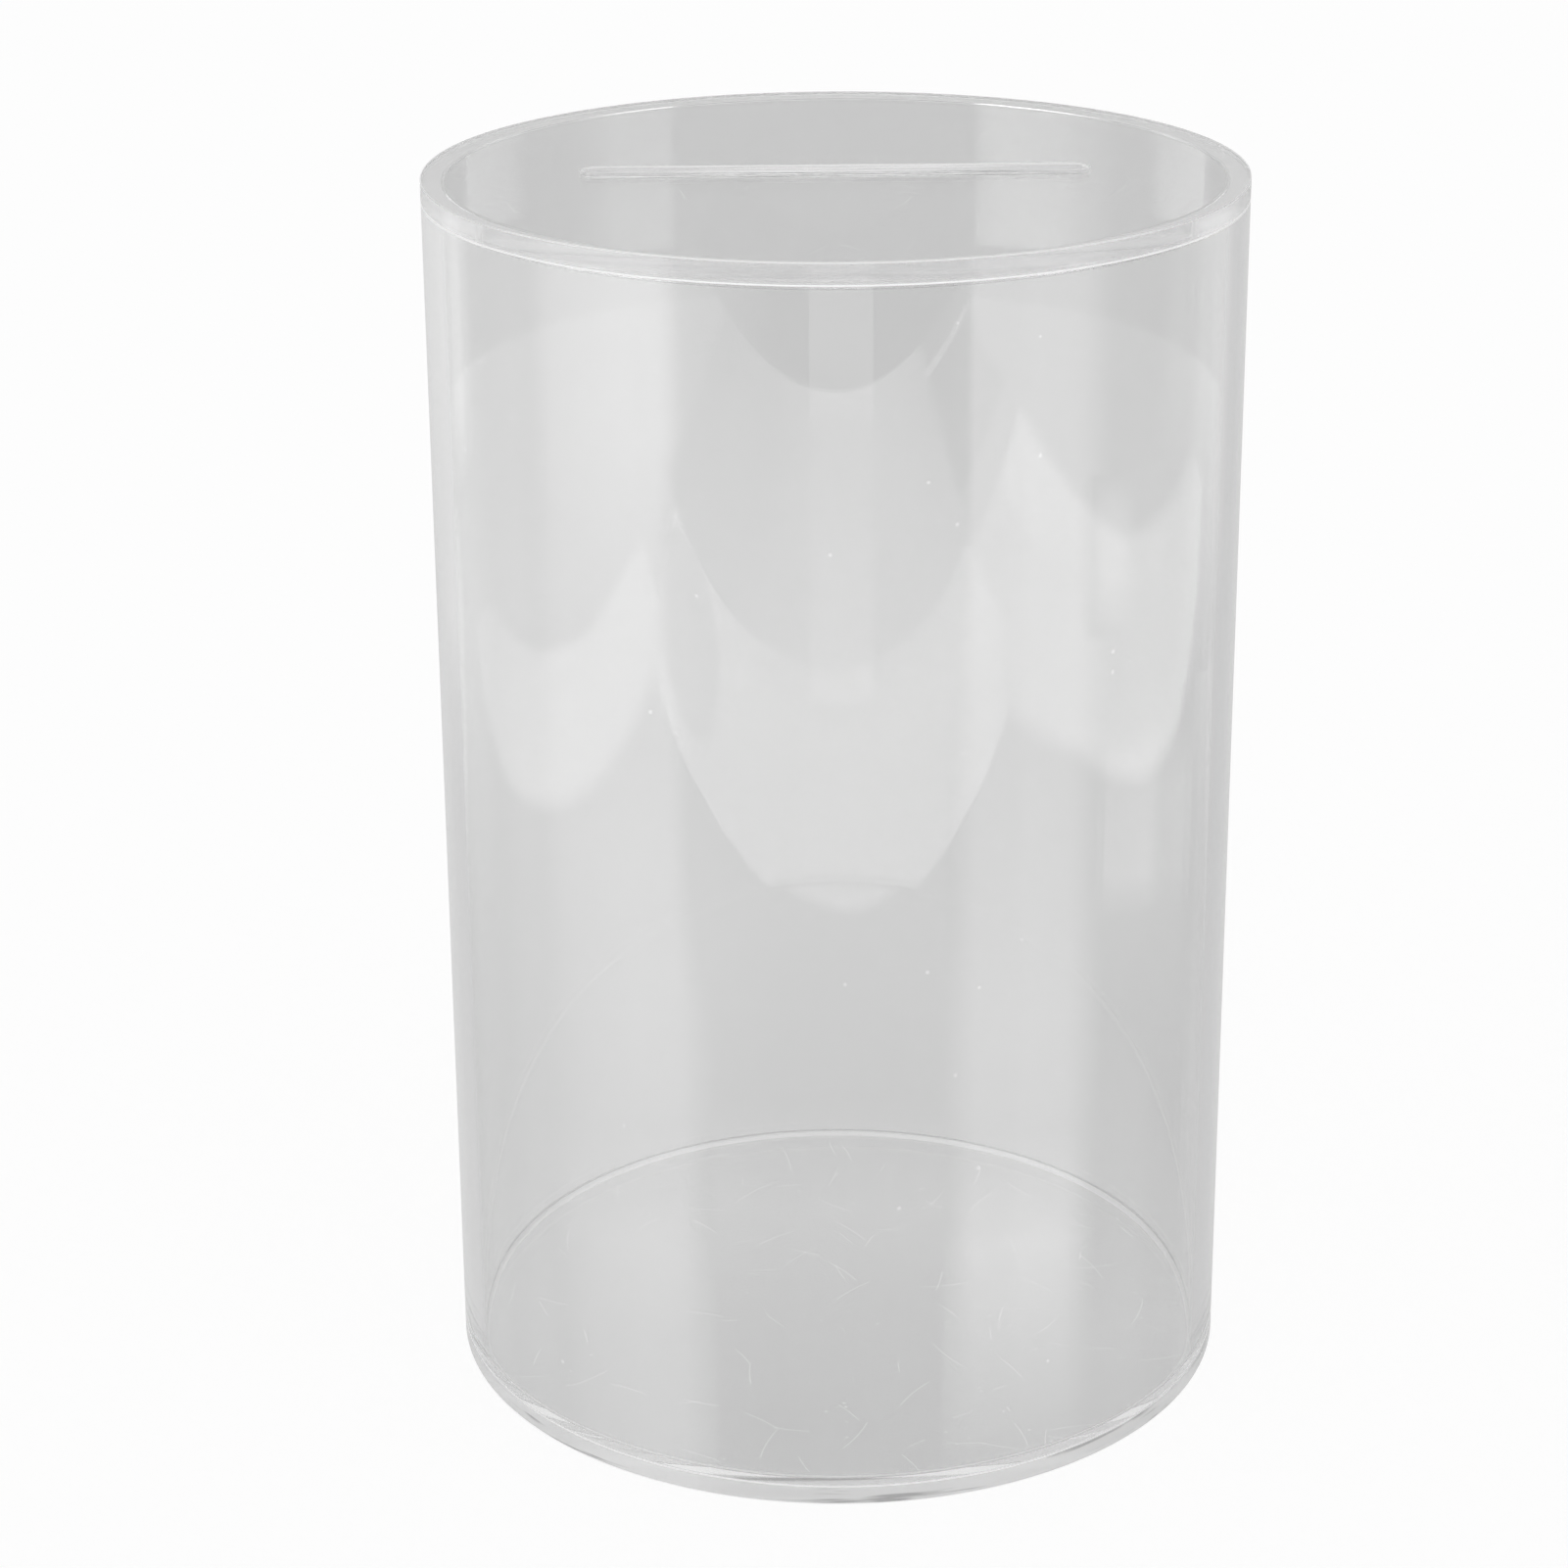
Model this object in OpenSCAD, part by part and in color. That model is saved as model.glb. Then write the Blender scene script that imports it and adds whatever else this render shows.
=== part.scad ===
// Round see-through ballot box with a slotted lid that lifts off.
// Millimetres, +Z up. The origin is at the middle of the box's underside.
// The slot runs along X.

/* [Tube] */
// Outside diameter of the tube, the base and the lid
tube_od = 200; // [160:1:320]
// Wall thickness of the tube
tube_wall = 5; // [3:0.5:10]
// Height of the tube alone, from the base to the lid
tube_h = 300; // [60:1:600]

/* [Base] */
// Thickness of the base disc cemented under the tube
base_t = 5; // [3:0.5:12]

/* [Lid] */
// Thickness of the lid disc that lies on the tube's rim
lid_t = 5; // [3:0.5:12]
// Thickness of the locating disc cemented under the lid
locator_t = 2; // [1.5:0.5:10]
// Gap all round between the locating disc and the tube's bore
locator_clearance = 0.5; // [0.2:0.1:2]

/* [Slot] */
// Length of the slot from end to end
slot_len = 123; // [30:1:130]
// Width of the slot, which its round ends follow
slot_w = 8; // [4:0.5:20]

/* [Edges] */
// Size of the small chamfer that breaks each sharp outer edge
edge_break = 0.3; // [0.1:0.1:1]

/* [Hidden] */

// How far a cut runs past the surface that it starts or ends at
overrun = 1;
// Facets round a full circle
$fn = 180;

tube_r = tube_od / 2;
bore_r = tube_r - tube_wall;
locator_r = bore_r - locator_clearance;

rim_z = base_t + tube_h;

clear_acrylic = [0.82, 0.86, 0.87, 0.45];
edge_acrylic = [0.72, 0.80, 0.82, 0.55];

// A flat disc with its underside at z = 0 and both outer edges broken.
module broken_edge_disc(radius, thickness) {
    rotate_extrude()
        polygon([
            [0, 0],
            [radius - edge_break, 0],
            [radius, edge_break],
            [radius, thickness - edge_break],
            [radius - edge_break, thickness],
            [0, thickness]
        ]);
}

// Outline of the paper slot: a straight slot with round ends, along X.
module slot_outline() {
    end_r = slot_w / 2;
    end_x = slot_len / 2 - end_r;
    square([2 * end_x, slot_w], center = true);
    for (side = [-1, 1])
        translate([side * end_x, 0])
            circle(r = end_r);
}

// The slot as a cut through a sheet of the given thickness that lies on z = 0.
module slot_cut(thickness) {
    translate([0, 0, -overrun])
        linear_extrude(height = thickness + 2 * overrun)
            slot_outline();
}

// Solid floor of the box, as wide as the tube that stands on it.
module base_disc() {
    color(edge_acrylic)
        broken_edge_disc(tube_r, base_t);
}

// Length of extruded tube, open at both ends, with its rims broken inside and out.
module tube_wall() {
    color(clear_acrylic)
        translate([0, 0, base_t])
            rotate_extrude()
                polygon([
                    [bore_r + edge_break, 0],
                    [tube_r - edge_break, 0],
                    [tube_r, edge_break],
                    [tube_r, tube_h - edge_break],
                    [tube_r - edge_break, tube_h],
                    [bore_r + edge_break, tube_h],
                    [bore_r, tube_h - edge_break],
                    [bore_r, edge_break]
                ]);
}

// Lid that lies loose on the tube's rim, with the paper slot through its middle.
module lid_disc() {
    color(edge_acrylic)
        translate([0, 0, rim_z])
            difference() {
                broken_edge_disc(tube_r, lid_t);
                slot_cut(lid_t);
            }
}

// Disc under the lid that drops into the bore and keeps the lid from sliding off.
module lid_locating_disc() {
    color(clear_acrylic)
        translate([0, 0, rim_z - locator_t])
            difference() {
                broken_edge_disc(locator_r, locator_t);
                slot_cut(locator_t);
            }
}

base_disc();
tube_wall();
lid_disc();
lid_locating_disc();
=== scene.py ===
"""Looks of a round, see-through acrylic ballot box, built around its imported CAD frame. Metres, +Z up."""

import math

import bmesh
import bpy
from mathutils import Matrix, Vector

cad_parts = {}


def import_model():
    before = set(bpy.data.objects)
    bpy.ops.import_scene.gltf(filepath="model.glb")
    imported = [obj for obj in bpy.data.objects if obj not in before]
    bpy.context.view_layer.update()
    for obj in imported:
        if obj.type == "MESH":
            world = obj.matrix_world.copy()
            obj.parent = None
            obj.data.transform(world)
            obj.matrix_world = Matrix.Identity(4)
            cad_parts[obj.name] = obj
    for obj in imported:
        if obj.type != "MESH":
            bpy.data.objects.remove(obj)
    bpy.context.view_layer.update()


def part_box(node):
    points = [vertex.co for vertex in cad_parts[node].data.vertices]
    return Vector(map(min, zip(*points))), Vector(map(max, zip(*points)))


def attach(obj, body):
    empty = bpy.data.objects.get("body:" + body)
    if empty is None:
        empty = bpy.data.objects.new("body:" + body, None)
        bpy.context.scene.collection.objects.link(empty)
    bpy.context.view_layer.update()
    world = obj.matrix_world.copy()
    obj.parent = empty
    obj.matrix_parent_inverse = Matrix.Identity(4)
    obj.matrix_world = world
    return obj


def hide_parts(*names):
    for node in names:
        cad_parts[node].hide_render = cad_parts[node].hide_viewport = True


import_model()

# Sizes that the frame gives
OUTER_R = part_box("tube_wall")[1].x
BASE_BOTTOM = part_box("base_disc")[0].z
BASE_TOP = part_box("base_disc")[1].z
RIM_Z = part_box("tube_wall")[1].z
LID_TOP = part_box("lid_disc")[1].z
LOCATOR_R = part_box("lid_locating_disc")[1].x
LOCATOR_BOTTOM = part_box("lid_locating_disc")[0].z

# Sizes that the boxes don't show
WALL = 0.005
BORE_R = OUTER_R - WALL
SLOT_LENGTH = 0.123
SLOT_WIDTH = 0.008
EDGE_R = 0.0003
CEMENT_GAP = 0.00004
AIR_FILM = 0.00005
BEAD = 0.0011
BEAD_LIP = 0.00005

# Fineness of the meshes, and the share of the slot's points that lies on its round ends
RING_POINTS = 512
SLOT_END_SHARE = 0.25
EDGE_STEPS = 4

# The photograph's camera
IMAGE_PX = 1601
SENSOR_MM = 36
FOCAL_PX = 3845.47
CAMERA_DISTANCE = 0.90098
CAMERA_HEIGHT = 0.49679
CAMERA_YAW = -0.01479
CAMERA_PITCH = -0.35015
CAMERA_ROLL = -0.00741
CAMERA_SHIFT = -0.04
CAMERA_TURN = math.radians(-1.1)
CLIP_START = 0.05
CLIP_END = 50


# Geometry: a piece is a stack of rings with the same number of points

def circle_ring(radius, z, normal):
    """A round ring, with the surface normal that its profile has there."""
    points = []
    for i in range(RING_POINTS):
        a = 2 * math.pi * i / RING_POINTS
        out = Vector((math.cos(a), math.sin(a), 0))
        points.append((out * radius + Vector((0, 0, z)), out * normal[0] + Vector((0, 0, normal[1]))))
    return points


def slot_point(i):
    """The place on the slot's middle line that outline point i stands off, and in which direction."""
    quarter = RING_POINTS // 4
    arc = int(quarter * SLOT_END_SHARE)
    end_x = SLOT_LENGTH / 2 - SLOT_WIDTH / 2
    turn, k = divmod(i, quarter)
    if turn % 2:
        k = quarter - k
    if k <= arc:
        a = math.pi / 2 * k / arc
        middle = Vector((end_x, 0, 0))
        out = Vector((math.cos(a), math.sin(a), 0))
    else:
        middle = Vector((end_x * (quarter - k) / (quarter - arc), 0, 0))
        out = Vector((0, 1, 0))
    sides = ((1, 1), (-1, 1), (-1, -1), (1, -1))[turn]
    for v in (middle, out):
        v.x *= sides[0]
        v.y *= sides[1]
    return middle, out


def slot_ring(grow, z, normal):
    """A ring along the slot's outline, grown by that much. The normal counts away from the slot."""
    points = []
    for i in range(RING_POINTS):
        middle, out = slot_point(i)
        point = middle + out * (SLOT_WIDTH / 2 + grow) + Vector((0, 0, z))
        points.append((point, out * normal[0] + Vector((0, 0, normal[1]))))
    return points


def edge(ring, size, z, side, up, from_face):
    """Rings of one rounded edge. The solid lies towards -side and -up of the corner at size and z."""
    rings = []
    for k in range(EDGE_STEPS + 1):
        a = math.pi / 2 * k / EDGE_STEPS
        normal = (side * math.sin(a), up * math.cos(a))
        at = (size - side * EDGE_R + EDGE_R * normal[0], z - up * EDGE_R + EDGE_R * normal[1])
        rings.append(ring(at[0], at[1], normal))
    return rings if from_face else rings[::-1]


def bead_rings(radius, z):
    """The hollow bead of cement in the corner between the bore and the floor, down to its thin lip."""
    rings = []
    for k in range(EDGE_STEPS + 1):
        a = math.pi / 2 * k / EDGE_STEPS
        at = (radius - BEAD + BEAD * math.cos(a), z + BEAD - BEAD * math.sin(a))
        rings.append(circle_ring(at[0], at[1], (-math.cos(a), math.sin(a))))
    rings.append(circle_ring(radius - BEAD + BEAD_LIP, z, (0, -1)))
    return rings


def add_end(bm, ring, z_sign):
    """Closes a stack's end with a flat face, and returns the normal of the new middle point."""
    centre = bm.verts.new(sum((v.co for v in ring), Vector()) / RING_POINTS)
    for i in range(RING_POINTS):
        bm.faces.new((ring[i], ring[(i + 1) % RING_POINTS], centre))
    return Vector((0, 0, z_sign))


def make_mesh(name, rings, closed, materials, finishes):
    """Joins rings into a piece. finishes gives a band of faces its material number, if it isn't 0."""
    bm = bmesh.new()
    normals = []
    stack = []
    for ring in rings:
        stack.append([bm.verts.new(p) for p, _ in ring])
        normals += [n for _, n in ring]
    count = len(stack)
    for j in range(count if closed else count - 1):
        low, high = stack[j], stack[(j + 1) % count]
        for i in range(RING_POINTS):
            nxt = (i + 1) % RING_POINTS
            face = bm.faces.new((low[i], low[nxt], high[nxt], high[i]))
            face.material_index = finishes.get(j, 0)
    if not closed:
        normals.append(add_end(bm, stack[0], -1))
        normals.append(add_end(bm, stack[-1], 1))
    for face in bm.faces:
        face.smooth = True
    bmesh.ops.recalc_face_normals(bm, faces=bm.faces)
    mesh = bpy.data.meshes.new(name)
    bm.to_mesh(mesh)
    bm.free()
    mesh.normals_split_custom_set_from_vertices(normals)
    for material in materials:
        mesh.materials.append(material)
    piece = bpy.data.objects.new(name, mesh)
    bpy.context.scene.collection.objects.link(piece)
    return piece


def place(piece, cad_node, body):
    """The piece stands for a CAD node, which it hides, and moves with its body."""
    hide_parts(cad_node)
    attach(piece, body)


# Shader nodes

def grey(level):
    """A colour without a hue."""
    return (level, level, level, 1)


def node(tree, kind, inputs=(), **settings):
    """Adds a shader node, sets its properties, and links or sets its inputs."""
    made = tree.nodes.new(kind)
    for name, value in settings.items():
        setattr(made, name, value)
    for name, value in dict(inputs).items():
        if isinstance(value, bpy.types.NodeSocket):
            tree.links.new(value, made.inputs[name])
        else:
            made.inputs[name].default_value = value
    return made


def math_node(tree, operation, a, b=0.0, c=0.5, clamp=False):
    """The result of one sum on numbers or sockets. c is MULTIPLY_ADD's addend and COMPARE's margin."""
    made = node(tree, "ShaderNodeMath", {0: a, 1: b, 2: c}, operation=operation, use_clamp=clamp)
    return made.outputs[0]


def mix_numbers(tree, share, first, second):
    """The first number, or the second as the share goes to 1."""
    return node(tree, "ShaderNodeMix", {0: share, 2: first, 3: second}, data_type="FLOAT").outputs[0]


def mix_colours(tree, share, first, second):
    """The first colour, or the second as the share goes to 1."""
    return node(tree, "ShaderNodeMix", {0: share, 6: first, 7: second}, data_type="RGBA").outputs[2]


def mix_shaders(tree, share, first, second):
    """The first shader, or the second as the share goes to 1."""
    return node(tree, "ShaderNodeMixShader", {0: share, 1: first, 2: second}).outputs[0]


def transparent(tree, tint):
    """A surface that rays pass straight through."""
    return node(tree, "ShaderNodeBsdfTransparent", {"Color": tint}).outputs[0]


def new_material(name):
    """An empty node material, and its output's socket for the surface."""
    material = bpy.data.materials.new(name)
    material.use_nodes = True
    material.node_tree.nodes.clear()
    output = node(material.node_tree, "ShaderNodeOutputMaterial")
    return material, material.node_tree, output.inputs["Surface"]


def object_place(tree):
    """The place on the piece, in metres."""
    return node(tree, "ShaderNodeTexCoord").outputs["Object"]


def noise(tree, at, scale, stretch=(1, 1, 1), detail=2.0):
    """A noise value at a place, with its pattern's scale multiplied along each axis."""
    placed = node(tree, "ShaderNodeMapping", {"Vector": at, "Scale": stretch}).outputs[0]
    inputs = {"Vector": placed, "Scale": scale, "Detail": detail}
    return node(tree, "ShaderNodeTexNoise", inputs).outputs[0]


def lamp_rays(tree):
    """1 for rays that look for light: they go straight through clear acrylic."""
    path = node(tree, "ShaderNodeLightPath")
    return math_node(tree, "MAXIMUM", path.outputs["Is Shadow Ray"], path.outputs["Is Diffuse Ray"])


# Materials

WHITE = grey(1.0)
ACRYLIC_IOR = 1.49
SHADOW_TINT = grey(0.97)

# Tints, and how far the clear ones drift over the pieces. The clear acrylic's grey tint is painted shade:
# it stands in for a grey backdrop seen through the clear acrylic
PAINTED_BACKDROP_TINT = 0.785
# Painted light: the lid's underside over the rim is left almost untinted, so that ring shows lighter
LIGHTER_RING_TINT = 0.98
HAZE = 0.012
HAZE_SCALE = 18.0
HAZE_DETAIL = 3.0
SATIN_TINT = grey(0.93)
MILLED_TINT = grey(0.85)
SIDE_TINT = grey(0.8)
BASE_SIDE_TINT = grey(0.78)

# Painted reflections: dark patches along the base's side, which stand in for dark surroundings seen in it.
# Their tint, their pattern, and the noise values at which they start and are full
DARK_REFLECTION_TINT = grey(0.42)
PATCH_SCALE = 36.0
PATCH_STRETCH = (1, 1, 16)
PATCH_START = 0.57
PATCH_FULL = 0.66

# Relief: upright streaks of the drawn tube and the cast sheet, and the marks of the saw and the mill
STREAK_STRETCH = (400, 400, 3)
STREAK_DETAIL = 3.0
TUBE_STREAKS = 0.00000012
SHEET_STREAKS = 0.00000002
SAW_STRETCH = (1, 1, 0.04)
MILL_STRETCH = (0.02, 0.02, 1)

# Bubbles in the cement, and the share of the noise's range that they take
BUBBLE_SCALE = 500.0
BUBBLE_STRETCH = (1, 1, 0)
BASE_BUBBLES = 0.22
LID_BUBBLES = 0.12

# Marks, as cells to the metre and the share of the cells that has one
TUBE_DUST = (160.0, 0.03)
SHEET_DUST = (200.0, 0.2)
LONG_SCRATCHES = (30.0, 0.5)
SHORT_SCRATCHES = (75.0, 0.35)
SPECK_SIZE = 0.09
SCRATCH_WIDTH = 0.00014
SCRATCH_LENGTH = 0.008
SCRATCH_BEND = 12.0
# How far the scratch pattern moves sideways for each metre of height
FACE_SHIFT = (40.0, 53.0, 0.0)


def dust(tree, at, cells, share):
    """1 on small specks: one or none in each cell."""
    spot = node(tree, "ShaderNodeTexVoronoi", {"Vector": at, "Scale": cells})
    pick = node(tree, "ShaderNodeSeparateColor", {0: spot.outputs["Color"]})
    small = math_node(tree, "LESS_THAN", spot.outputs["Distance"], SPECK_SIZE)
    chosen = math_node(tree, "LESS_THAN", pick.outputs[0], share)
    return math_node(tree, "MULTIPLY", small, chosen)


def scratches(tree, at, cells, share):
    """1 on fine, slightly bent strokes that lie every way: one or none in each cell."""
    cell = node(tree, "ShaderNodeTexVoronoi", {"Vector": at, "Scale": cells}, voronoi_dimensions="2D")
    pick = node(tree, "ShaderNodeSeparateColor", {0: cell.outputs["Color"]})
    ends = {0: at, 1: cell.outputs["Position"]}
    offset = node(tree, "ShaderNodeVectorMath", ends, operation="SUBTRACT").outputs[0]
    angle = math_node(tree, "MULTIPLY", pick.outputs[1], 2 * math.pi)
    spin = {"Vector": offset, "Angle": angle}
    turned = node(tree, "ShaderNodeVectorRotate", spin, rotation_type="Z_AXIS").outputs[0]
    along = node(tree, "ShaderNodeSeparateXYZ", {0: turned})
    square = math_node(tree, "MULTIPLY", along.outputs[0], along.outputs[0])
    across = math_node(tree, "MULTIPLY_ADD", square, SCRATCH_BEND, along.outputs[1])
    thin = math_node(tree, "LESS_THAN", math_node(tree, "ABSOLUTE", across), SCRATCH_WIDTH)
    reach = math_node(tree, "MULTIPLY", pick.outputs[2], SCRATCH_LENGTH)
    short = math_node(tree, "LESS_THAN", math_node(tree, "ABSOLUTE", along.outputs[0]), reach)
    chosen = math_node(tree, "LESS_THAN", pick.outputs[0], share)
    return math_node(tree, "MULTIPLY", math_node(tree, "MULTIPLY", thin, short), chosen)


def tube_marks(tree, at):
    """The tube's specks of dust."""
    return dust(tree, at, *TUBE_DUST)


def sheet_marks(tree, at):
    """The sheets' scratches and dust. A sheet's two faces have scratches of their own."""
    height = node(tree, "ShaderNodeSeparateXYZ", {0: at}).outputs[2]
    shift = {0: height, 1: FACE_SHIFT, 2: at}
    face = node(tree, "ShaderNodeVectorMath", shift, operation="MULTIPLY_ADD").outputs[0]
    long_ones = scratches(tree, face, *LONG_SCRATCHES)
    short_ones = scratches(tree, face, *SHORT_SCRATCHES)
    lines = math_node(tree, "MAXIMUM", long_ones, short_ones)
    return math_node(tree, "MAXIMUM", lines, dust(tree, at, *SHEET_DUST))


def acrylic_surface(tree, tint, clearness, roughness, height, relief):
    """Acrylic with a relief of that depth. Rays that look for light go straight through it."""
    bump = node(tree, "ShaderNodeBump", {"Height": height, "Distance": relief})
    surface = node(
        tree,
        "ShaderNodeBsdfPrincipled",
        {
            "Base Color": tint,
            "Roughness": roughness,
            "IOR": ACRYLIC_IOR,
            "Transmission Weight": clearness,
            "Normal": bump.outputs[0],
        },
    )
    return mix_shaders(tree, lamp_rays(tree), surface.outputs[0], transparent(tree, SHADOW_TINT))


def clear_surface(tree, tint, haze, streaks, marks):
    """Clear acrylic. haze is the drift of its tint, streaks its relief, marks its scratches and dust."""
    at = object_place(tree)
    drift = noise(tree, at, HAZE_SCALE, detail=HAZE_DETAIL)
    base = mix_colours(tree, drift, grey(tint - haze), grey(tint + haze))
    marked = mix_colours(tree, marks(tree, at), base, WHITE)
    lines = noise(tree, at, 1.0, STREAK_STRETCH, STREAK_DETAIL)
    return acrylic_surface(tree, marked, 1.0, 0.0, lines, streaks)


def acrylic(name, tint, streaks, marks):
    """Plain clear acrylic."""
    material, tree, surface = new_material(name)
    tree.links.new(clear_surface(tree, tint, HAZE, streaks, marks), surface)
    return material


def cement(name, bubbles):
    """Solvent cement between two acrylic faces: see-through, with bubbles where it left air."""
    material, tree, surface = new_material(name)
    cells = noise(tree, object_place(tree), BUBBLE_SCALE, BUBBLE_STRETCH)
    air = math_node(tree, "GREATER_THAN", cells, 1 - bubbles)
    bubble = clear_surface(tree, PAINTED_BACKDROP_TINT, 0.0, 0.0, tube_marks)
    tree.links.new(mix_shaders(tree, air, transparent(tree, WHITE), bubble), surface)
    return material


def satin(name, tint, clearness, roughness, relief, scale, stretch=(1, 1, 1), dark_reflections=False):
    """Acrylic that blurs, such as a sawn rim, a cut side or a bead of cement with a wavy skin."""
    material, tree, surface = new_material(name)
    at = object_place(tree)
    # Painted reflections: dark patches that stand in for dark surroundings seen in the piece
    if dark_reflections:
        reflection_patches = noise(tree, at, PATCH_SCALE, PATCH_STRETCH)
        span = {"Value": reflection_patches, "From Min": PATCH_START, "From Max": PATCH_FULL}
        tint = mix_colours(tree, node(tree, "ShaderNodeMapRange", span).outputs[0], tint, DARK_REFLECTION_TINT)
    grain = noise(tree, at, scale, stretch)
    tree.links.new(acrylic_surface(tree, tint, clearness, roughness, grain, relief), surface)
    return material


# The tube and the sheets carry the painted shade of a grey backdrop seen through them
tube_acrylic = acrylic("tube_acrylic", PAINTED_BACKDROP_TINT, TUBE_STREAKS, tube_marks)
sheet_acrylic = acrylic("sheet_acrylic", PAINTED_BACKDROP_TINT, SHEET_STREAKS, sheet_marks)
lighter_ring_acrylic = acrylic("lighter_ring_acrylic", LIGHTER_RING_TINT, SHEET_STREAKS, sheet_marks)
base_cement = cement("base_cement", BASE_BUBBLES)
lid_cement = cement("lid_cement", LID_BUBBLES)
sawn_rim = satin("sawn_rim", WHITE, clearness=0.0, roughness=0.35, relief=0.00002, scale=2500.0)
cut_edge = satin("cut_edge", SATIN_TINT, clearness=0.3, roughness=0.3, relief=0.00001, scale=1500.0)
cut_side = satin(
    "cut_side", SIDE_TINT, clearness=0.85, roughness=0.1, relief=0.00002, scale=1200.0,
    stretch=SAW_STRETCH
)
milled = satin(
    "milled", MILLED_TINT, clearness=0.9, roughness=0.08, relief=0.00015, scale=900.0,
    stretch=MILL_STRETCH
)
trimmed_side = satin(
    "trimmed_side", WHITE, clearness=1.0, roughness=0.05, relief=0.00001, scale=1200.0,
    stretch=SAW_STRETCH
)
# The base's side has painted dark reflections in patches
base_side = satin(
    "base_side", BASE_SIDE_TINT, clearness=0.4, roughness=0.12, relief=0.00003, scale=900.0,
    stretch=SAW_STRETCH, dark_reflections=True
)
cement_bead = satin("cement_bead", WHITE, clearness=0.15, roughness=0.35, relief=0.00001, scale=400.0)


# Pieces

# Material numbers: BONDED on every piece, SAWN and BEADED on the tube, the others on the discs
BONDED = 1
SAWN = 2
BEADED = 3
EDGED = 2
SIDED = 3
MILLED = 4
LIGHTER_RING = 5


def cut_faces(start):
    """The finishes of a disc's cut rim: its side and the rounded edges on both sides of it."""
    finishes = {j: EDGED for j in range(start, start + 2 * EDGE_STEPS + 1)}
    finishes[start + EDGE_STEPS] = SIDED
    return finishes


def base_disc():
    """The solid floor, with a cemented ring under the tube."""
    rings = edge(circle_ring, OUTER_R, BASE_BOTTOM, 1, -1, True)
    rings += edge(circle_ring, OUTER_R, BASE_TOP, 1, 1, False)
    rings.append(circle_ring(BORE_R - BEAD + BEAD_LIP, BASE_TOP, (0, 1)))
    finishes = cut_faces(0)
    finishes[len(rings) - 2] = BONDED
    materials = (sheet_acrylic, base_cement, cut_edge, base_side)
    piece = make_mesh("base_disc_clear", rings, False, materials, finishes)
    place(piece, "base_disc", "box")


def tube():
    """The tube, sawn off at the rim, and cemented to the base with a bead of cement inside."""
    top, bottom = RIM_Z - AIR_FILM, BASE_TOP + CEMENT_GAP
    rings = edge(circle_ring, OUTER_R, bottom, 1, -1, True)
    rings += edge(circle_ring, OUTER_R, top, 1, 1, False)
    rim = len(rings) - 1
    rings += edge(circle_ring, BORE_R, top, -1, 1, True)
    bead = len(rings)
    rings += bead_rings(BORE_R, bottom)
    finishes = {j: SAWN for j in range(rim - EDGE_STEPS, rim + EDGE_STEPS + 1)}
    finishes.update({j: BEADED for j in range(bead, len(rings) - 1)})
    finishes[len(rings) - 1] = BONDED
    materials = (tube_acrylic, base_cement, sawn_rim, cement_bead)
    piece = make_mesh("tube_wall_clear", rings, True, materials, finishes)
    place(piece, "tube_wall", "box")


def slot_wall(bottom, top):
    """The rings and finishes of the paper slot's wall, from the disc's underside up to its top."""
    rings = edge(slot_ring, 0, bottom, -1, -1, True)
    rings += edge(slot_ring, 0, top, -1, 1, False)
    finishes = {j: EDGED for j in range(len(rings) - 1)}
    finishes[EDGE_STEPS] = MILLED
    return rings, finishes


def cut_rim(radius, bottom, top):
    """The rings of a slotted disc's cut rim, from its top down to its underside."""
    return edge(circle_ring, radius, top, 1, 1, True) + edge(circle_ring, radius, bottom, 1, -1, False)


def lid_disc():
    """The lid on the rim, with the locating disc cemented to the middle of its underside."""
    rings, finishes = slot_wall(RIM_Z, LID_TOP)
    finishes.update(cut_faces(len(rings)))
    rings += cut_rim(OUTER_R, RIM_Z, LID_TOP)
    rings.append(circle_ring(LOCATOR_R - EDGE_R, RIM_Z, (0, -1)))
    # Painted light: this face over the rim is almost untinted, so the ring over the rim shows lighter than
    # the lid
    finishes[len(rings) - 2] = LIGHTER_RING
    finishes[len(rings) - 1] = BONDED
    materials = (sheet_acrylic, lid_cement, cut_edge, cut_side, milled, lighter_ring_acrylic)
    piece = make_mesh("lid_disc_clear", rings, True, materials, finishes)
    place(piece, "lid_disc", "lid")


def locating_disc():
    """The disc under the lid that drops into the bore."""
    top = RIM_Z - CEMENT_GAP
    rings, finishes = slot_wall(LOCATOR_BOTTOM, top)
    finishes[len(rings) - 1] = BONDED
    finishes.update(cut_faces(len(rings)))
    rings += cut_rim(LOCATOR_R, LOCATOR_BOTTOM, top)
    materials = (sheet_acrylic, lid_cement, cut_edge, trimmed_side, milled)
    piece = make_mesh("lid_locating_disc_clear", rings, True, materials, finishes)
    place(piece, "lid_locating_disc", "lid")


base_disc()
tube()
lid_disc()
locating_disc()


# Studio

FLOOR_DROP = 0.0001
FLOOR_HALF = 8.0
FLOOR_GLOW = 0.8
FLOOR_BOUNCE = 0.45
AMBIENT = 0.6
# The level behind the box that reflections inside the acrylic find, and where it starts and is full, by
# the part of their direction away from the camera
BACKDROP = 0.78
BACKDROP_START = 0.6
BACKDROP_FULL = 0.75
# How bright a reflection finds the studio, by the upward part of its direction
STUDIO_LEVELS = ((-0.42, 0.60), (-0.24, 0.70), (-0.06, 1.0), (0.06, 1.0), (0.15, 0.52))


def seen_directly(tree):
    """1 for rays that look at the background by eye, by reflection or through glass."""
    path = node(tree, "ShaderNodeLightPath")
    seen = math_node(tree, "MAXIMUM", path.outputs["Is Camera Ray"], path.outputs["Is Glossy Ray"])
    return math_node(tree, "MAXIMUM", seen, path.outputs["Is Transmission Ray"])


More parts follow.
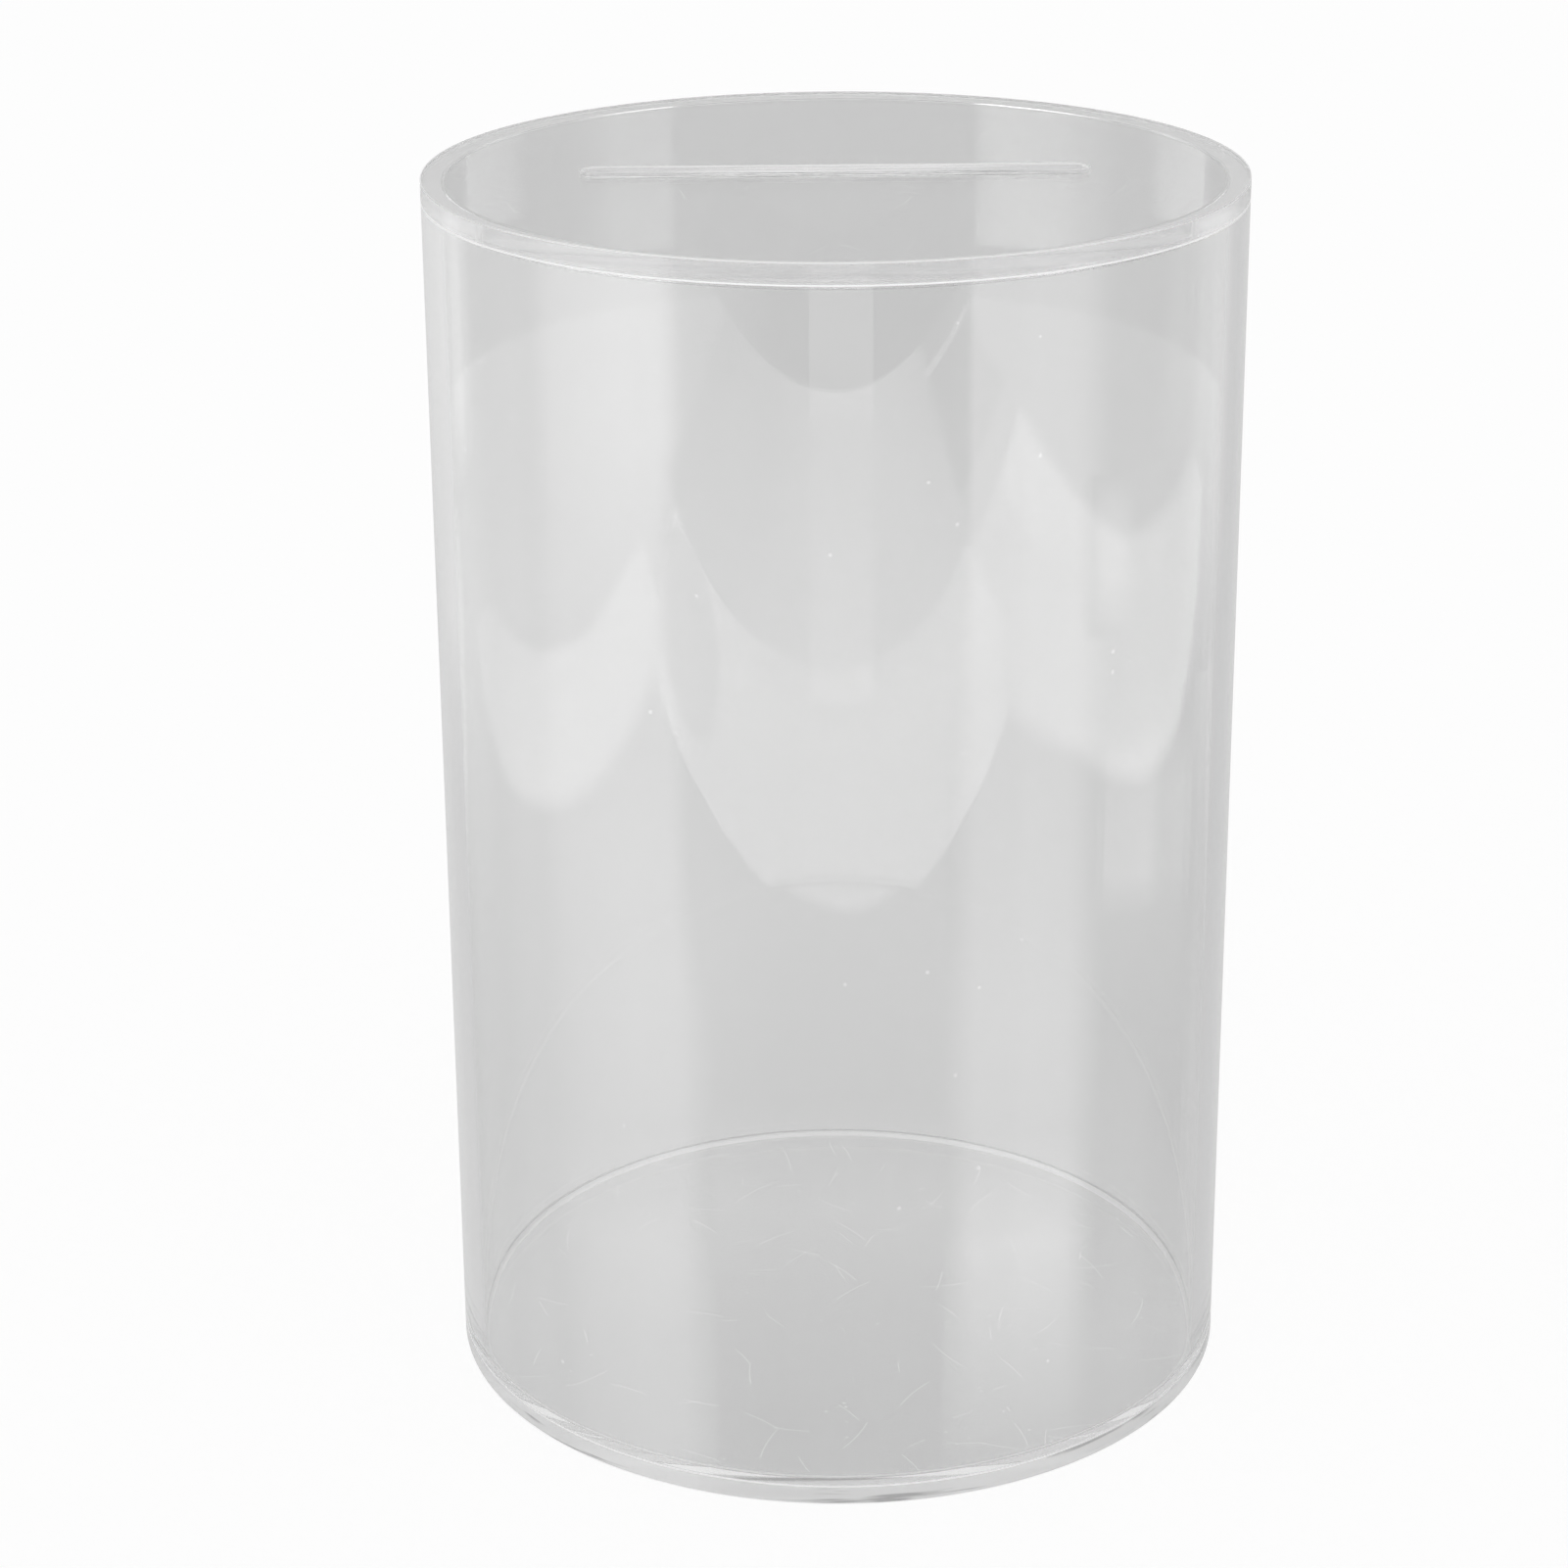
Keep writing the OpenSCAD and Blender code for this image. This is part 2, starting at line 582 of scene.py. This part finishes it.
def reflected(tree):
    """1 for rays that have met one reflection. Those led along inside the acrylic have met more."""
    path = node(tree, "ShaderNodeLightPath")
    return math_node(tree, "COMPARE", path.outputs["Glossy Depth"], 1.0)


def studio_level(tree, up):
    """The level that reflections find in the direction with that upward part, from -1 to 1."""
    ramp = node(tree, "ShaderNodeValToRGB", {0: math_node(tree, "MULTIPLY_ADD", up, 0.5, 0.5)})
    stops = ramp.color_ramp.elements
    while len(stops) < len(STUDIO_LEVELS):
        stops.new(0.5)
    for stop, (z, level) in zip(stops, STUDIO_LEVELS):
        stop.position = z / 2 + 0.5
        stop.color = grey(level)
    return ramp.outputs[0]


def world():
    """White to the eye, a dimmer studio in reflections, and soft light for lighting."""
    made = bpy.data.worlds.new("studio")
    made.use_nodes = True
    tree = made.node_tree
    tree.nodes.clear()
    way = node(tree, "ShaderNodeSeparateXYZ", {0: node(tree, "ShaderNodeTexCoord").outputs["Generated"]})
    span = {"Value": way.outputs["Y"], "From Min": BACKDROP_START, "From Max": BACKDROP_FULL}
    behind = node(tree, "ShaderNodeMapRange", span).outputs[0]
    inside = node(tree, "ShaderNodeLightPath").outputs["Transmission Depth"]
    backdrop = math_node(tree, "MULTIPLY", behind, inside, clamp=True)
    studio = mix_numbers(tree, backdrop, studio_level(tree, way.outputs["Z"]), BACKDROP)
    mirrored = mix_numbers(tree, reflected(tree), 1.0, studio)
    level = mix_numbers(tree, seen_directly(tree), AMBIENT, mirrored)
    back = node(tree, "ShaderNodeBackground", {"Color": WHITE, "Strength": level})
    output = node(tree, "ShaderNodeOutputWorld")
    tree.links.new(back.outputs[0], output.inputs["Surface"])
    bpy.context.scene.world = made


def floor():
    """White floor that keeps a shadow. Reflected rays pass it and see the studio below."""
    material, tree, surface = new_material("white_floor")
    level = mix_numbers(tree, seen_directly(tree), FLOOR_BOUNCE, FLOOR_GLOW)
    glow = node(tree, "ShaderNodeEmission", {"Color": WHITE, "Strength": level})
    paint = node(tree, "ShaderNodeBsdfDiffuse", {"Color": grey(1 - FLOOR_GLOW)})
    both = node(tree, "ShaderNodeAddShader", {0: glow.outputs[0], 1: paint.outputs[0]})
    tree.links.new(mix_shaders(tree, reflected(tree), both.outputs[0], transparent(tree, WHITE)), surface)
    mesh = bpy.data.meshes.new("floor")
    ways = ((-1, -1), (1, -1), (1, 1), (-1, 1))
    corners = [(x * FLOOR_HALF, y * FLOOR_HALF, -FLOOR_DROP) for x, y in ways]
    mesh.from_pydata(corners, [], [(0, 1, 2, 3)])
    mesh.materials.append(material)
    made = bpy.data.objects.new("floor", mesh)
    bpy.context.scene.collection.objects.link(made)


# Light cards: sheets of light round the box, which only its reflections find. Places are in millimetres
# on the table, or degrees round the box, from the camera's side.

MM = 0.001
ALL_DEPTHS = 99
TABLE_GLOW = 1.35
DARK_GLOW = 0.35
STUDIO_EDGE = 0.65
TABLE_RINGS = ((1, 0.86), (300, 0.9), (550, TABLE_GLOW), (980, TABLE_GLOW))
TABLE_POINTS = 96
SCREEN_STEPS = 4
CURVE_STEPS = 8
# Where the lit table ends, behind the box
FAR_EDGE = -760
# Distances of the screens: some stand in front of others
NEAR_SCREEN = 2.9
SCREEN = 3.0
FAR_SCREEN = 3.1


def card_material(name, least, most):
    """Light that only shows in reflections, to rays with that many passages through acrylic surfaces."""
    material, tree, surface = new_material(name)
    depth = node(tree, "ShaderNodeLightPath").outputs["Transmission Depth"]
    enough = math_node(tree, "GREATER_THAN", depth, least - 0.5)
    few = math_node(tree, "LESS_THAN", depth, most + 0.5)
    shows = math_node(tree, "MULTIPLY", math_node(tree, "MULTIPLY", enough, few), reflected(tree))
    level = node(tree, "ShaderNodeAttribute", attribute_name="level").outputs["Fac"]
    glow = node(tree, "ShaderNodeEmission", {"Color": WHITE, "Strength": level})
    tree.links.new(mix_shaders(tree, shows, transparent(tree, WHITE), glow.outputs[0]), surface)
    material.cycles.emission_sampling = "NONE"
    return material


def card(name, rows, material):
    """A light card from rows of points with their levels, turned with the photograph's camera."""
    wide = len(rows[0])
    faces = []
    for j in range(len(rows) - 1):
        for i in range(wide - 1):
            k = j * wide + i
            faces.append((k, k + 1, k + 1 + wide, k + wide))
    mesh = bpy.data.meshes.new(name)
    mesh.from_pydata([point for row in rows for point, _ in row], [], faces)
    levels = mesh.attributes.new("level", "FLOAT", "POINT")
    levels.data.foreach_set("value", [level for row in rows for _, level in row])
    mesh.materials.append(material)
    mesh.transform(Matrix.Rotation(CAMERA_TURN, 4, "Z"))
    made = bpy.data.objects.new(name, mesh)
    made.visible_camera = False
    made.visible_diffuse = False
    made.visible_shadow = False
    bpy.context.scene.collection.objects.link(made)


def table_card(name, material, drop, rows):
    """A card that lies that many millimetres under the table's top. Rows hold (x, y, level)."""
    card(name, [[((x * MM, y * MM, -drop * MM), level) for x, y, level in row] for row in rows], material)


def strip_card(name, material, drop, rows):
    """A table card from rows of y, two x, a level, and the width of a soft edge on each side."""
    made = []
    for y, x0, x1, level, soft0, soft1 in rows:
        way = 1 if x1 > x0 else -1
        made.append([
            (x0 - way * soft0, y, TABLE_GLOW),
            (x0, y, level),
            (x1, y, level),
            (x1 + way * soft1, y, TABLE_GLOW),
        ])
    table_card(name, material, drop, made)


def patch_card(name, material, drop, level, outline):
    """A table card of one level inside an outline, given as two sides with the same number of points."""
    table_card(name, material, drop, [[(x, y, level) for x, y in side] for side in outline])


def curve(start, pull_out, pull_in, end):
    """Points of a cubic curve from start to end, drawn towards two places in between."""
    points = []
    for k in range(CURVE_STEPS + 1):
        t = k / CURVE_STEPS
        shares = ((1 - t) ** 3, 3 * t * (1 - t) ** 2, 3 * t ** 2 * (1 - t), t ** 3)
        ends = (start, pull_out, pull_in, end)
        points.append(tuple(sum(share * at[i] for share, at in zip(shares, ends)) for i in range(2)))
    return points


def round_table(material, drop):
    """The table's own dim glow, brighter farther out."""
    rows = []
    for radius, level in TABLE_RINGS:
        row = []
        for k in range(TABLE_POINTS + 1):
            a = 2 * math.pi * k / TABLE_POINTS
            row.append((radius * math.cos(a), radius * math.sin(a), level))
        rows.append(row)
    table_card("card_round_table", material, drop, rows)


def screen_card(name, material, distance, shares, rows):
    """A tall curved card. A row holds a height, a level, the level beside it, and the azimuths where the
    shares of the one level over the other apply."""
    made = []
    for z, level, beside, azimuths in rows:
        row = []
        for k in range(len(azimuths) - 1):
            for step in range(SCREEN_STEPS):
                t = step / SCREEN_STEPS
                a = azimuths[k] + (azimuths[k + 1] - azimuths[k]) * t
                row.append((math.radians(a), shares[k] + (shares[k + 1] - shares[k]) * t))
        row.append((math.radians(azimuths[-1]), shares[-1]))
        made.append([
            ((distance * math.sin(a), -distance * math.cos(a), z), beside + (level - beside) * share)
            for a, share in row
        ])
    card(name, made, material)


def middle_table_cards(light):
    """The table right behind the box, its lit far half, and the dark beyond it."""
    round_table(light, drop=1.8)
    patch_card("card_beyond", light, drop=1.5, level=DARK_GLOW, outline=(
        ((-760, FAR_EDGE), (760, FAR_EDGE)),
        ((-760, -1100), (760, -1100)),
    ))
    patch_card("card_corner", light, drop=1.4, level=0.7, outline=(
        ((-400, -430), (-430, -590), (-410, FAR_EDGE)),
        ((-690, -430), (-660, -590), (-680, FAR_EDGE)),
    ))
    far = ((-400, 1.9), (-270, 2.4), (0, 2.7), (150, 2.5), (260, 2.0), (420, 1.5), (560, 0.9))
    rows = [[(x, y, level) for x, level in far] for y in (-330, FAR_EDGE)]
    table_card("card_far", light, drop=1.2, rows=rows)
    near = (
        (2.8, ((-370, -130), (-250, -125), (-150, -115), (-80, -95), (-10, -75),
               (40, -90), (100, -110), (170, -125), (330, -130))),
        (3.1, ((-370, -190), (-260, -190), (-160, -185), (-80, -175), (-10, -165),
               (50, -170), (110, -180), (190, -190), (400, -190))),
        (3.6, ((-380, -250), (-260, -250), (-160, -250), (-80, -250), (-10, -250),
               (50, -250), (110, -250), (190, -250), (450, -250))),
        (3.4, ((-380, -360), (-270, -345), (-170, -340), (-80, -335), (-10, -330),
               (60, -335), (120, -335), (200, -330), (500, -320))),
    )
    rows = [[(x, y, level) for x, y in row] for level, row in near]
    table_card("card_near", light, drop=1.0, rows=rows)


def side_table_cards(light):
    """The lit strips of the table on both sides of the box."""
    strip_card("card_left", light, drop=0.9, rows=(
        (-340, -380, -680, 2.4, 0, 10),
        (-200, -370, -660, 2.5, 0, 15),
        (-120, -300, -640, 2.8, 20, 20),
        (-60, -310, -630, 2.8, 25, 20),
        (40, -310, -600, 3.1, 20, 25),
        (120, -280, -570, 3.2, 20, 25),
        (240, -240, -530, 3.1, 25, 30),
        (400, -180, -480, 2.9, 30, 40),
        (580, -140, -390, 2.5, 30, 60),
        (740, -170, -270, 2.2, 30, 80),
    ))
    patch_card("card_left_rim", light, drop=0.8, level=3.2, outline=(
        ((-520, -330), (-520, -120), (-530, 20), (-580, 90)),
        ((-680, -330), (-640, -110), (-610, 20), (-585, 95)),
    ))
    strip_card("card_right", light, drop=0.9, rows=(
        (-190, 400, 510, 2.7, 0, 0),
        (-120, 340, 490, 2.8, 20, 10),
        (-50, 320, 470, 2.8, 25, 10),
        (20, 290, 440, 2.8, 25, 10),
        (90, 260, 420, 2.8, 20, 10),
        (160, 240, 400, 2.7, 20, 15),
        (240, 210, 370, 2.3, 20, 15),
        (300, 190, 350, 2.1, 20, 15),
        (380, 160, 320, 1.9, 15, 15),
        (450, 130, 290, 1.8, 15, 15),
        (510, 120, 240, 1.8, 15, 10),
        (540, 110, 160, 1.8, 10, 10),
    ))
    patch_card("card_left_leaf", light, drop=0.6, level=2.3, outline=(
        curve((200, -160), (330, -130), (480, -190), (470, -300)),
        curve((200, -160), (200, -250), (320, -370), (470, -300)),
    ))
    patch_card("card_far_line", light, drop=1.1, level=2.4, outline=(
        ((-400, -680), (-660, -680)),
        ((-400, -700), (-660, -700)),
    ))


def left_screens(light):
    """The bright screen at the camera's left, and the dimmer studio beside it."""
    high = (-92, -84, -70, -60, -48, -42, -41)
    middle = (-92, -84, -70, -60, -51, -46, -41)
    low = (-92, -80, -66, -58, -46, -37, -36)
    screen_card("card_left_screen", light, SCREEN, shares=(0, 0.45, 0.8, 1, 1, 0.1, 0.1), rows=(
        (0.4, 2.7, 1.3, high),
        (-0.43, 3.1, 1.3, high),
        (-0.55, 3.0, 1.3, high),
        (-0.68, 2.55, 1.3, middle),
        (-0.78, 2.3, 1.3, middle),
        (-0.88, 2.25, 1.3, high),
        (-1.0, 2.3, 1.3, high),
        (-1.21, 2.1, 1.15, low),
        (-1.34, 1.8, 1.0, low),
        (-1.48, 2.2, 1.05, low),
        (-1.6, 1.75, 0.9, low),
        (-1.78, 1.4, 0.7, low),
        (-2.4, 1.4, 0.7, low),
    ))
    side = (-138, -126, -112, -100, -92)
    screen_card("card_left_side", light, SCREEN, shares=(-0.5, 0, 0.1, 0.8, 1), rows=(
        (0.4, 1.3, 1.0, side),
        (-0.75, 1.3, 1.0, side),
        (-1.0, 1.3, 0.92, side),
        (-1.21, 1.1, 0.82, side),
        (-1.34, 1.0, 0.78, side),
        (-1.62, 1.0, 0.78, side),
        (-1.78, 0.7, 0.6, side),
        (-2.4, 0.7, 0.6, side),
    ))


def right_screens(light):
    """The screen at the camera's right, and the darker studio beside it with its bright blob."""
    high = (36, 37.5, 53, 54.5, 70, 81)
    low = (31, 40, 53, 54.5, 70, 81)
    screen_card("card_right_screen", light, SCREEN, shares=(0.15, 0.9, 0.9, 1, 0.8, 0), rows=(
        (0.4, 1.95, 0.6, high),
        (-0.65, 1.9, 0.7, high),
        (-0.9, 1.85, 0.65, low),
        (-1.21, 1.95, 0.8, low),
        (-1.34, 1.7, 0.65, low),
        (-1.48, 2.7, 0.75, low),
        (-1.62, 1.6, 0.75, low),
        (-1.75, 0.7, 0.45, low),
        (-2.4, 0.7, 0.4, low),
    ))
    side = (81, 101, 106, 122)
    screen_card("card_right_side", light, SCREEN, shares=(1, 1, 0, 0), rows=(
        (0.4, 0.65, 0.85, side),
        (-0.5, 0.65, 0.85, side),
        (-0.65, 0.75, 0.65, side),
        (-0.77, 0.55, 0.5, side),
        (-0.88, 0.65, 0.55, side),
        (-0.96, 1.25, 0.85, side),
        (-1.05, 1.35, 0.85, side),
        (-1.1, 0.75, 0.7, side),
        (-1.22, 0.55, 0.6, side),
        (-1.34, 0.62, 0.52, side),
        (-1.6, 0.75, 0.65, side),
        (-1.75, 0.45, 0.45, side),
        (-2.4, 0.45, 0.45, side),
    ))
    blob = (74, 78, 85, 92)
    screen_card("card_right_blob", light, NEAR_SCREEN, shares=(0, 1, 1, 0), rows=(
        (-0.57, 0.7, 0.7, blob),
        (-0.62, 1.5, 0.75, blob),
        (-0.68, 1.3, 0.75, blob),
        (-0.74, 0.55, 0.55, blob),
    ))


def front_screens(light):
    """The studio behind the camera, with a lighter column in its middle."""
    column = (-7, 10)
    screen_card("card_front_column", light, NEAR_SCREEN, shares=(1, 1), rows=(
        (0.4, 1.15, 1.15, column),
        (-0.43, 1.2, 1.2, column),
        (-0.52, 0.8, 0.8, column),
        (-0.6, 1.0, 1.0, column),
        (-0.8, 1.3, 1.3, column),
    ))
    front = (-41, -31, -16, 26, 36)
    screen_card("card_front", light, FAR_SCREEN, shares=(1, 0.6, 0.1, 0, 0.25), rows=(
        (0.4, 1.4, 0.35, front),
        (-0.5, 1.4, 0.4, front),
        (-0.65, 1.4, 0.75, front),
        (-0.88, 1.3, 0.95, front),
        (-1.1, 1.5, 1.15, front),
        (-1.21, 1.3, 0.95, front),
        (-1.34, 1.05, 0.7, front),
        (-1.48, 1.5, 1.2, front),
        (-1.61, 0.9, 0.65, front),
        (-1.75, 0.6, 0.3, front),
        (-2.4, 0.5, 0.2, front),
    ))


def back_screens(light):
    """The stands and the studio behind the box, which its outer edges mirror."""
    stand = (-136, -131, -126, -122)
    screen_card("card_left_stand", light, NEAR_SCREEN, shares=(0, 1, 1, 0), rows=(
        (0.4, 1.35, 0.95, stand),
        (-0.5, 1.3, 0.95, stand),
        (-0.6, 0.95, 0.95, stand),
    ))
    stand = (114, 119, 126, 131)
    screen_card("card_right_stand", light, NEAR_SCREEN, shares=(0.3, 1, 1, 0.9), rows=(
        (0.4, 1.0, 0.62, stand),
        (-0.5, 1.0, 0.62, stand),
        (-0.8, 0.6, 0.6, stand),
    ))
    behind = (-138, -150, -160, -176)
    screen_card("card_left_behind", light, SCREEN, shares=(1, 0.65, 0.3, 0), rows=(
        (0.4, 0.93, 0.645, behind),
        (-0.5, 0.93, 0.645, behind),
        (-0.65, 0.88, 0.65, behind),
        (-0.77, 0.9, 0.58, behind),
        (-0.88, 0.76, 0.65, behind),
        (-1.0, 0.7, 0.67, behind),
        (-2.4, 0.72, 0.68, behind),
    ))
    behind = (126, 133, 141, 147, 158, 176)
    screen_card("card_right_behind", light, SCREEN, shares=(1, 1, 0.25, 0.05, 0, 0), rows=(
        (0.4, 1.0, 0.63, behind),
        (-0.5, 1.0, 0.63, behind),
        (-0.65, 0.9, 0.63, behind),
        (-0.77, 0.76, 0.63, behind),
        (-0.88, 0.73, 0.63, behind),
        (-1.0, 0.68, 0.62, behind),
        (-2.4, 0.65, 0.62, behind),
    ))


def lid_screens(light):
    """Screens that only the lid's underside mirrors, each with a level and the height of its foot."""
    head = 0.5
    for name, level, foot, azimuths, shares in (
        ("card_lid_left", 5.5, -0.44, (-44, -46, -53, -68, -76, -84, -98), (0, 0.75, 1, 1, 0.8, 0.45, 0)),
        ("card_lid_right", 3.7, -0.44, (51, 53, 72, 80, 92), (0, 1, 1, 0.4, 0)),
        ("card_lid_far_left", 3.3, -0.39, (-112, -120, -150), (0, 1, 1)),
        ("card_lid_far_right", 2.6, -0.39, (112, 120, 150), (0.5, 1, 1)),
    ):
        rows = [(z, level, STUDIO_EDGE, azimuths) for z in (head, foot)]
        screen_card(name, light, SCREEN, shares, rows)


def light_cards():
    """The back wall mirrors the table, the front wall the screens, and the lid's underside its own."""
    table_light = card_material("table_light", least=3, most=ALL_DEPTHS)
    middle_table_cards(table_light)
    side_table_cards(table_light)
    screen_light = card_material("screen_light", least=0, most=2)
    left_screens(screen_light)
    right_screens(screen_light)
    front_screens(screen_light)
    back_screens(screen_light)
    lid_screens(card_material("lid_light", least=3, most=ALL_DEPTHS))


SUN_LEVEL = 0.7
SUN_SPREAD = math.radians(60)


def lamp(name, turn, tilt):
    """A very soft, distant lamp that lights without showing in reflections."""
    data = bpy.data.lights.new(name, "SUN")
    data.energy = SUN_LEVEL
    data.angle = SUN_SPREAD
    made = bpy.data.objects.new(name, data)
    made.rotation_euler = (math.radians(tilt), 0, math.radians(turn))
    made.visible_glossy = False
    made.visible_transmission = False
    bpy.context.scene.collection.objects.link(made)


def camera():
    """The camera that took the photograph, in the part's frame."""
    yaw, pitch, roll = CAMERA_YAW, CAMERA_PITCH, CAMERA_ROLL
    ahead = Vector((math.sin(yaw) * math.cos(pitch), math.cos(yaw) * math.cos(pitch), math.sin(pitch)))
    level = Vector((math.cos(yaw), -math.sin(yaw), 0))
    upright = level.cross(ahead)
    right = math.cos(roll) * level + math.sin(roll) * upright
    up = math.cos(roll) * upright - math.sin(roll) * level
    turned = Matrix((right, up, -ahead)).transposed().to_4x4()
    data = bpy.data.cameras.new("camera")
    data.sensor_width = SENSOR_MM
    data.lens = FOCAL_PX / IMAGE_PX * SENSOR_MM
    data.shift_y = CAMERA_SHIFT
    data.clip_start = CLIP_START
    data.clip_end = CLIP_END
    made = bpy.data.objects.new("camera", data)
    place_at = Matrix.Translation((0, -CAMERA_DISTANCE, CAMERA_HEIGHT))
    made.matrix_world = Matrix.Rotation(CAMERA_TURN, 4, "Z") @ place_at @ turned
    bpy.context.scene.collection.objects.link(made)
    bpy.context.scene.camera = made


world()
floor()
light_cards()
lamp("key_lamp", turn=35, tilt=40)
lamp("fill_lamp", turn=-50, tilt=50)
camera()

# The acrylic leads rays along inside it for many bounces
scene = bpy.context.scene
scene.view_settings.view_transform = "Standard"
scene.cycles.max_bounces = 128
scene.cycles.glossy_bounces = 100
scene.cycles.transmission_bounces = 40
scene.cycles.transparent_max_bounces = 32
